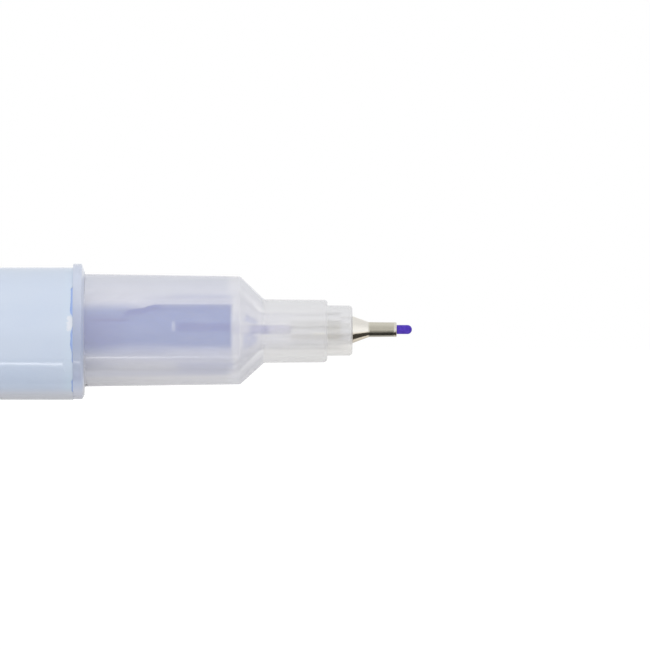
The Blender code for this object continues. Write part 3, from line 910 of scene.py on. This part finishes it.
def wrapFinish():
    finish = Finish("inkedWrap", {"IOR": 1.45, "Roughness": 0.3}, bundleAxis)
    along, tilt = finish.x, finish.tilt()
    wander = finish.noise(0.9, (1, 0.2, 0.2), detail=2.0) - 0.5
    ribs = nose["chamberRibStart"]
    # the wet patch: its upper edge climbs in steps, and near the collar both edges are soft
    top = finish.step(along, 3.6, 4.5, 18.0, 33.0) + finish.step(along, 4.2, 6.0, 0.0, 4.5)
    top = top + finish.step(along, 5.6, 6.8, 0.0, 4.2) + wander * finish.step(along, 6.0, 7.0, 6.0, 1.2)
    topSoft = finish.step(along, 3.4, 6.8, 4.0, 1.6)
    thin = 0.34 * finish.step(top - tilt, 0.0, 11.0, 1.0, 0.0) * finish.step(along, 6.0, 7.4)
    bottom = finish.step(along, 2.0, 4.5, -33.0, -29.5) + finish.step(along, 6.0, ribs, 0.0, 2.5)
    bottomSoft = finish.step(along, 2.0, 4.0, 12.0, 17.0) + finish.step(along, 6.0, ribs, 0.0, -7.0)
    floor = finish.step(tilt, bottom - bottomSoft, bottom + bottomSoft)
    wet = finish.step(tilt, top - topSoft, top + topSoft, 1.0, 0.0) * floor
    veil = finish.step(tilt, 26.0, 52.0, 1.0, 0.0) * finish.step(along, 3.9, 6.8, 1.0, 0.25) * floor
    above = finish.band(tilt, 36.0, 62.0, 8.0) * finish.step(along, 5.0, 7.0)
    # ribs press on the wrap and draw the ink along themselves
    ribbed = finish.step(along, ribs - 0.1, ribs + 0.3)
    front = finish.band(tilt, -0.3, 11.5, 3.0) * ribbed
    rim = finish.band(top - tilt, -1.0, 11.0, 4.0) * finish.step(along, 3.7, 4.6)
    rim = rim * (0.4 + 0.6 * finish.step(along, 6.0, 8.0, 1.0, 0.0))
    low = finish.band(tilt, -78.0, -50.0, 7.0) * ribbed
    high = finish.band(tilt, 55.0, 68.0, 3.0) * finish.step(along, ribs - 1.0, ribs)
    near = finish.step(along, 1.6, 6.2, 1.0, 0.0) * finish.band(tilt, -24.0, 24.0, 6.0)
    seep = finish.step(along, 1.0, 5.0, 1.0, 0.0) * finish.band(tilt, -78.0, -50.0, 6.0)
    stain = finish.band(tilt, -48.0, -30.0, 6.0) * finish.step(along, 5.0, ribs, 0.5, 1.0)
    line = finish.band(tilt, 14.2, 16.6, 0.6) * finish.band(along, 1.95, 4.4, 0.3)
    glint = finish.band(along, ribs - 0.32, ribs - 0.04, 0.09) * finish.band(tilt, -0.5, 13.5, 2.0)
    mottle = finish.noise(1.4, (0.5, 1, 1), detail=4.0)
    pale = finish.tint(mottle, rgb(230, 231, 240), bundle["dry"])
    # whiter along the underside: painted light on its shaded side
    pale = finish.tint(finish.step(tilt, -52.0, -72.0), pale, rgb(255, 255, 255))
    share = finish.sum("MAXIMUM", wet * (0.84 + 0.3 * mottle) * (1 - thin), 0.95 * veil)
    spread = 0.05 * low + 0.24 * high + 0.27 * seep + 0.24 * stain + 0.17 * above
    share = finish.sum("MINIMUM", share + spread, 1.0)
    end = station("ink_reservoir", 1)
    share = share * (1 - 0.36 * glint) * (1 - 0.5 * finish.step(along, end - 0.25, end + 0.08))
    deep = 0.9 * front + rim + 0.75 * near + 0.3 * (mottle - 0.4)
    ink = finish.tint(finish.step(deep, 0.0, 1.0), bundle["wet"], bundle["wetDeep"])
    ink = finish.tint(line, ink, rgb(0, 10, 150))
    finish.feed("Base Color", finish.tint(share, pale, ink))
    finish.bump(finish.noise(3.0, (0.3, 1, 1)), 0.004)
    return finish


def makeBundle():
    back, end = station("ink_reservoir", 0), station("ink_reservoir", 1)
    face = end - 0.08
    hole = nib["radius"] + bundle["nibPlay"]
    holeEnd = station("fibre_nib", 0) - bundle["nibPlay"]
    core = [
        (0, holeEnd, 0),
        (hole, holeEnd, 0),
        (hole, face, 0.05),
        (bundle["radius"], face, 0.1),
        (bundle["radius"], back, 0.15),
        (0, back, 0),
    ]
    piece = turned("inkBundle", core, bundleAxis, bundleFinish())
    settle(piece, "pen", "ink_reservoir")
    back = station("reservoir_film", 0)
    inner, outer = bundle["wrapRadius"] - bundle["wrapWall"], bundle["wrapRadius"]
    end += 0.08
    wrap = [(inner, end, 0), (outer, end, 0.02), (outer, back, 0.02), (inner, back, 0)]
    piece = turned("bundleWrap", wrap, bundleAxis, wrapFinish())
    settle(piece, "pen", "reservoir_film")


makeBundle()


# Barrel: a blue moulded tube, seen only past the film's ragged edge
barrel = {"radius": 5.22, "bore": 4.32}


def bluePlastic():
    finish = Finish("bluePlastic", {"IOR": 1.49}, barrelAxis)
    flow = finish.noise(0.7, (0.3, 1, 1), detail=4.0)
    # set a little pale overall: partly the plastic's blue, partly painted light against the shade where the
    # tube shows past the film
    colour = finish.tint(flow, rgb(140, 168, 224), rgb(154, 180, 230))
    paintedLightAtFront = finish.step(finish.x, -0.14, 0.04)  # paler at its front end: painted light against the shade in the recess by the collar
    finish.feed("Base Color", finish.tint(paintedLightAtFront, colour, rgb(170, 192, 236)))
    finish.feed("Roughness", 0.26 + 0.16 * finish.noise(2.5, detail=4.0))
    finish.bump(finish.noise(7.0, detail=2.0), 0.003)
    return finish


def makeBarrel(finish):
    back, end = station("barrel_tube", 0), station("barrel_tube", 1)
    corners = [
        (barrel["bore"], end, 0.12),
        (barrel["radius"], nose["collarBack"], 0.005),
        (barrel["radius"], back, 0.05),
        (barrel["bore"], back, 0.05),
    ]
    piece = turned("barrelTube", corners, barrelAxis, finish)
    settle(piece, "pen", "barrel_tube")


blue = bluePlastic()
makeBarrel(blue)


# Film round the barrel: a wrapped sheet with a torn front edge, lapped behind
film = {
    "radius": 5.275,
    "wall": 0.05,
    "frontEdge": 0.065,  # station
    "sliverDepth": 0.19,
    # where the tear bares the tube: (bearing, half width) in degrees, share of the depth
    "slivers": ((30.0, 13.5, 1.0), (-7.0, 8.8, 0.62), (-10.0, 15.0, 0.38), (-53.0, 9.5, 0.6)),
    "whiteNick": (9.0, 6.3),
    "nickDepth": 0.38,
    "seam": 150.0,  # bearing, behind the pen
    "lap": 7.0,
}


def wrappedSheet():
    inlets = {"Axis": "Vector", "Front": "Float", "Length": "Float", "Radius": "Float", "Wall": "Float"}
    inlets.update({"Seam": "Float", "Lap": "Float", "Tear": "Float", "Around": "Int", "Along": "Int"})
    inlets["Finish"] = "Material"
    shape = Shape("wrappedSheet", inlets)
    size = shape.inlet
    sockets = {"Size X": 1.0, "Size Y": 1.0, "Vertices X": size["Along"], "Vertices Y": size["Around"]}
    flat = shape.node("GeometryNodeMeshGrid", sockets=sockets)
    u, v, level = shape.parts(shape.node("GeometryNodeInputPosition"))
    turn = (v + 0.5) * (360 + size["Lap"])  # degrees round from the seam
    bearing = turn + size["Seam"]
    angle = bearing * math.radians(1)
    cosine, sine = shape.sum("COSINE", angle), shape.sum("SINE", angle)
    ring = shape.join(cosine, sine, 0.0)
    sockets = {"Vector": ring, "Scale": 9.0, "Detail": 3.0}
    fray = shape.node("ShaderNodeTexNoise", sockets=sockets) - 0.5
    sockets = {"Vector": ring, "Scale": 3.0, "Detail": 1.0}
    loose = shape.node("ShaderNodeTexNoise", sockets=sockets)
    behind = shape.step(cosine, -0.25, 0.05, 1.0, 0.0)
    torn = shape.step(loose, 0.50, 0.56) * behind
    near = shape.sum("WRAP", bearing, 180.0, -180.0)
    for middle, half, depth in film["slivers"]:
        torn = torn + depth * shape.band(near + 9 * fray, middle - half, middle + half, 1.8)
    edge = size["Tear"] * torn * (0.85 + 0.9 * fray)
    away = size["Length"] * shape.sum("POWER", 0.5 - u, 2.4)  # distance from the front edge
    drawnIn = shape.step(away, 0.0, 0.45 * mm, 1.0, 0.0)
    along = size["Front"] - away - edge * drawnIn
    lapped = shape.step(turn, 360 - size["Lap"], 362 - size["Lap"] * 0.5)
    curl = shape.step(away, 0.0, 0.75 * mm, 1.0, 0.0)
    reach = size["Radius"] + lapped * size["Wall"] * 1.05 - curl * curl * 0.01 * mm
    place = shape.join(along, cosine * reach * -1, sine * reach)
    place = shape.node("ShaderNodeVectorMath", {"operation": "ADD"}, {0: place, 1: size["Axis"]})
    sheet = shape.node("GeometryNodeSetPosition", sockets={"Geometry": flat, "Position": place})
    sheet = shape.node("GeometryNodeFlipFaces", sockets={"Mesh": sheet})
    settings = {"mode": "FACES"}
    sockets = {"Mesh": sheet, "Offset Scale": size["Wall"], "Individual": False}
    raised = shape.node("GeometryNodeExtrudeMesh", settings, sockets)
    under = shape.node("GeometryNodeFlipFaces", sockets={"Mesh": sheet})
    both = shape.node("GeometryNodeJoinGeometry", sockets={"Geometry": raised})
    shape.tree.links.new(under.socket, both.socket.node.inputs[0])
    sockets = {"Geometry": both, "Distance": 0.0005 * mm}
    shape.close(shape.node("GeometryNodeMergeByDistance", sockets=sockets))
    return shape


def filmFinish():
    finish = Finish("paleBlueFilm", {"IOR": 1.47}, barrelAxis)
    cloud = finish.noise(0.35, (0.5, 1, 1), detail=3.0)
    grain = finish.noise(6.0, detail=2.0)
    colour = finish.tint(cloud, rgb(198, 210, 230), rgb(206, 216, 231))
    colour = finish.tint(0.25 * grain, colour, rgb(214, 222, 234))
    bearing = finish.bearing()
    bare = finish.step(finish.x, -1.05, -0.15)  # the last of the film is thin and unprinted
    # the unprinted end's pale tint is the film's own colour; its growth towards the underside is painted
    # light
    worn = 0.28 + 0.4 * finish.step(bearing, -32.0, -55.0)
    colour = finish.tint(worn * bare, colour, rgb(207, 223, 236))
    paintedUnderLight = finish.step(finish.tilt(), -52.0, -69.0)  # paler and greyer along its underside: painted reflected light
    colour = finish.tint(paintedUnderLight, colour, rgb(230, 232, 239))
    middle, half = film["whiteNick"]
    ragged = finish.noise(3.5, detail=3.0) - 0.5
    nick = finish.band(bearing + 6 * ragged, middle - half, middle + half, 1.2)
    nick = nick * finish.step(finish.x + 0.5 * ragged, -film["nickDepth"] - 0.08, -film["nickDepth"] + 0.12)
    colour = finish.tint(nick, colour, rgb(224, 228, 236))
    finish.feed("Base Color", colour)
    dull = finish.step(finish.x, -0.80, -0.50) * finish.band(bearing, -35.0, -22.0, 5.0)
    finish.feed("Roughness", 0.10 + 0.08 * finish.noise(1.2, (0.4, 1, 1)) + 0.3 * dull)
    finish.bump(finish.noise(0.9, (0.35, 1, 1), detail=2.0), 0.006)
    return finish


def makeFilm():
    values = {
        "Axis": [value * mm for value in barrelAxis],
        "Front": film["frontEdge"] * mm,
        "Length": (film["frontEdge"] - station("barrel_film", 0)) * mm,
        "Radius": film["radius"] * mm,
        "Wall": film["wall"] * mm,
        "Seam": film["seam"],
        "Lap": film["lap"],
        "Tear": film["sliverDepth"] * mm,
        "Around": 721,
        "Along": 40,
        "Finish": filmFinish().material,
    }
    piece = wrappedSheet().grow("filmWrap", bpy.data.meshes.new("filmSeed"), values)
    settle(piece, "pen", "barrel_film")
    return piece


filmWrap = makeFilm()


# Tail plug: a stopper with the hollow post that takes the cap, stiffened inside by crossed fins
plug = {
    "postEnd": station("tail_plug", 0),
    "postLength": 10.0,
    "postRadius": 4.40,
    "postEndRadius": 4.34,
    "flangeWidth": 1.15,
    "flangeRadius": 5.25,
    "spigotRadius": 4.27,
    "cupRadius": 3.34,
    "endWall": 1.0,
    "finHalf": 0.4,
    "finEnd": -86.3,
}


def makePlug(finish):
    flangeBack = plug["postEnd"] + plug["postLength"]
    flangeFront = flangeBack + plug["flangeWidth"]
    front = station("tail_plug", 1)
    floor = plug["postEnd"] + plug["endWall"]
    corners = [
        (0, plug["postEnd"], 0),
        (plug["postEndRadius"], plug["postEnd"], 0.50),
        (plug["postRadius"], flangeBack, 0.06),
        (plug["flangeRadius"], flangeBack, 0.25),
        (plug["flangeRadius"], flangeFront, 0.25),
        (plug["spigotRadius"], flangeFront, 0.05),
        (plug["spigotRadius"], front - 0.6, 0),
        (plug["spigotRadius"] - 0.3, front, 0.05),
        (plug["cupRadius"], front, 0.10),
        (plug["cupRadius"], floor, 0.20),
        (0, floor, 0),
    ]
    piece = turned("tailPlug", corners, barrelAxis, finish)
    settle(piece, "pen", "tail_plug")


def makeFins(finish):
    half, reach = plug["finHalf"], plug["cupRadius"] - 0.01
    cross = [(half, half), (half, reach), (-half, reach), (-half, half), (-reach, half), (-reach, -half)]
    cross += [(-half, -half), (-half, -reach), (half, -reach), (half, -half), (reach, -half), (reach, half)]
    bm = bmesh.new()
    floor = barrelAxis[0] + plug["postEnd"] + plug["endWall"]
    ring = [bm.verts.new((floor * mm, y * mm, (barrelAxis[2] + z) * mm)) for y, z in cross]
    end = bmesh.ops.extrude_face_region(bm, geom=[bm.faces.new(ring)])["geom"]
    moved = [part for part in end if isinstance(part, bmesh.types.BMVert)]
    length = plug["finEnd"] - plug["postEnd"] - plug["endWall"]
    bmesh.ops.translate(bm, verts=moved, vec=(length * mm, 0, 0))
    front = [edge for edge in bm.edges if all(vert in moved for vert in edge.verts)]
    bmesh.ops.bevel(bm, geom=front, offset=0.12 * mm, segments=3, profile=0.5, affect="EDGES")
    mesh = bpy.data.meshes.new("plugFins")
    bm.to_mesh(mesh)
    bm.free()
    mesh.materials.append(finish.material)
    piece = bpy.data.objects.new("plugFins", mesh)
    scene.collection.objects.link(piece)
    settle(tidied(piece), "pen", "tail_plug")


makePlug(blue)
makeFins(blue)


# Cap: a plain shell with a moulded clip, and inside it the soft thimble that seals the neck
cap = {
    "length": 32.0,
    "mouthRadius": 5.25,
    "crownRadius": 5.15,
    "mouthBore": 4.56,
    "gripBore": 4.40,
    "gripStation": 12.31,
    "floorBore": 4.34,
    "floor": 30.2,
}
clip = {
    "freeEnd": 8.5,
    "rise": 6.70,  # middle of its thickness, from the cap's axis
    "thickness": 1.1,
    "width": 3.4,
    "taper": 0.25,
    "bendCentre": (28.0, 4.65),  # station, height
    "bump": 0.75,
    "bumpLength": 4.5,
    "endRound": 0.55,
    "planRound": 1.0,
}
seal = {
    "mouth": 17.42,
    "back": 30.15,
    "flangeRadius": 4.29,
    "flangeWidth": 0.9,
    "radius": 3.25,
    "bore": 2.535,
    "leadIn": 0.25,
    "blindEnd": 27.24,
}


def paleBluePlastic():
    finish = Finish("paleBluePlastic", {"IOR": 1.49}, capAxis)
    flow = finish.noise(0.2, (0.5, 1, 1), detail=2.0)
    colour = finish.tint(flow, rgb(187, 206, 232), rgb(192, 210, 234))
    reach = finish.length(finish.y, finish.z)
    crown = finish.step(finish.x, 0.3 - cap["length"], 0.1 - cap["length"])
    gate = finish.step(reach, 0.55, 0.75, 1.0, 0.0) * crown  # where the plastic came in
    finish.feed("Base Color", finish.tint(0.5 * gate, colour, rgb(160, 182, 216)))
    scuffs = finish.step(finish.noise(0.8, (0.3, 1, 1), detail=3.0), 0.58, 0.78)
    finish.feed("Roughness", 0.22 + 0.06 * flow + 0.08 * scuffs + 0.2 * gate)
    finish.bump(finish.noise(1.1, detail=1.0) + 12 * gate, 0.001)
    return finish


def naturalPlastic():
    finish = Finish("naturalPlastic", {"IOR": 1.51}, capAxis)
    wax = finish.noise(0.8, detail=4.0)
    finish.feed("Base Color", finish.tint(wax, rgb(230, 232, 236), rgb(241, 241, 242)))
    finish.feed("Roughness", 0.40 + 0.18 * finish.noise(2.0, detail=4.0))
    finish.bump(finish.noise(5.0, detail=3.0), 0.006)
    return finish


def makeShell(finish):
    corners = [
        (0, cap["length"], 0),
        (cap["crownRadius"], cap["length"], 0.90),
        (cap["mouthRadius"], 0, 0.10),
        (cap["mouthBore"] + 0.15, 0, 0.06),
        (cap["mouthBore"], 0.30, 0),
        (cap["gripBore"], cap["gripStation"], 0),
        (cap["floorBore"], cap["floor"], 0.30),
        (0, cap["floor"], 0),
    ]
    piece = turned("capShell", corners, capAxis, finish, facing=-1.0)
    settle(piece, "cap", "cap_shell")
    return piece


def clipShape():  # a round-edged bar along the cap that bends down into its wall
    sizes = ("Free end", "Rise", "Thickness", "Width", "Taper", "Bend station", "Bend height")
    inlets = {"Axis": "Vector", "Along": "Int", "Around": "Int", "Finish": "Material"}
    inlets.update({label: "Float" for label in sizes + ("Bump", "Bump length", "End round", "Plan round")})
    shape = Shape("clipShape", inlets)
    size = shape.inlet
    sockets = {"Size X": 1.0, "Size Y": 1.0, "Vertices X": size["Along"], "Vertices Y": size["Around"]}
    flat = shape.node("GeometryNodeMeshGrid", sockets=sockets)
    u, v, level = shape.parts(shape.node("GeometryNodeInputPosition"))
    straight = size["Bend station"] - size["Free end"]
    bend = size["Rise"] - size["Bend height"]
    whole = straight + bend * (math.pi / 2)
    gone = whole * shape.sum("POWER", u + 0.5, 1.6)  # from the free end, closer set there
    swing = shape.sum("MAXIMUM", gone - straight, 0.0) / bend
    lean, upright = shape.sum("SINE", swing), shape.sum("COSINE", swing)
    middle = size["Free end"] + shape.sum("MINIMUM", gone, straight) + bend * lean
    height = size["Bend height"] + bend * upright

    def rounded(length):  # a quarter circle at the free end
        left = 1 - shape.sum("MINIMUM", gone / length, 1.0)
        return shape.sum("SQRT", shape.sum("MAXIMUM", 1 - left * left, 0.0))

    around = v * (2 * math.pi)
    sides = []
    for operation in ("COSINE", "SINE"):
        wave = shape.sum(operation, around)
        swell = shape.sum("MAXIMUM", shape.sum("ABSOLUTE", wave) - 1e-6, 0.0)  # so that the seam closes
        sides.append(shape.sum("SIGN", wave) * shape.sum("POWER", swell, 0.32))
    halfWidth = size["Width"] / 2 * (1 - size["Taper"] * (1 - gone / whole))
    halfWidth = halfWidth - size["Plan round"] * (1 - rounded(size["Plan round"]))
    half = size["Thickness"] / 2 * rounded(size["End round"])
    fall = shape.sum("MINIMUM", (size["Bump length"] - gone) / (size["Bump length"] - size["Bump"]), 1.0)
    bump = size["Bump"] * shape.sum("MAXIMUM", fall, 0.0) * rounded(size["Bump"])
    under = shape.sum("MAXIMUM", sides[1] * -1, 0.0)
    off = half * sides[1] - bump * under
    closed = shape.step(u, 0.499, 0.5, 1.0, 0.0)  # the root ends in a seam inside the wall
    along = (middle + off * lean * closed) * -1
    place = shape.join(along, halfWidth * sides[0] * closed, height + off * upright)
    place = shape.node("ShaderNodeVectorMath", {"operation": "ADD"}, {0: place, 1: size["Axis"]})
    bar = shape.node("GeometryNodeSetPosition", sockets={"Geometry": flat, "Position": place})
    sockets = {"Geometry": bar, "Distance": 0.0005 * mm}
    shape.close(shape.node("GeometryNodeMergeByDistance", sockets=sockets))
    return shape


def makeClip(finish):
    values = {
        "Axis": [value * mm for value in capAxis],
        "Free end": clip["freeEnd"] * mm,
        "Rise": clip["rise"] * mm,
        "Thickness": clip["thickness"] * mm,
        "Width": clip["width"] * mm,
        "Taper": clip["taper"],
        "Bend station": clip["bendCentre"][0] * mm,
        "Bend height": clip["bendCentre"][1] * mm,
        "Bump": clip["bump"] * mm,
        "Bump length": clip["bumpLength"] * mm,
        "End round": clip["endRound"] * mm,
        "Plan round": clip["planRound"] * mm,
        "Along": 161,
        "Around": 97,
        "Finish": finish.material,
    }
    piece = clipShape().grow("capClip", bpy.data.meshes.new("clipSeed"), values)
    settle(piece, "cap", "cap_shell")


def makeSeal():
    corners = [
        (0, seal["blindEnd"], 0),
        (seal["bore"], seal["blindEnd"], 0.25),
        (seal["bore"], seal["mouth"] + seal["leadIn"], 0),
        (seal["bore"] + seal["leadIn"], seal["mouth"], 0),
        (seal["flangeRadius"], seal["mouth"], 0.10),
        (seal["flangeRadius"], seal["mouth"] + seal["flangeWidth"], 0.05),
        (seal["radius"], seal["mouth"] + 1.5 * seal["flangeWidth"], 0.10),
        (seal["radius"], seal["back"], 0.20),
        (0, seal["back"], 0),
    ]
    piece = turned("capSeal", corners, capAxis, naturalPlastic(), facing=-1.0)
    settle(piece, "cap", "cap_inner_seal")


paleBlue = paleBluePlastic()
capShell = makeShell(paleBlue)
makeClip(paleBlue)
makeSeal()

# the strips are for the glossy plastics alone
lit = bpy.data.collections.new("stripLit")
for piece in (noseMoulding, filmWrap, capShell):
    lit.objects.link(piece)
for strip in strips:
    strip.light_linking.receiver_collection = lit

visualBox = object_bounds()
layTable(visualBox[0].z)  # under the lowest piece
print("table laid")
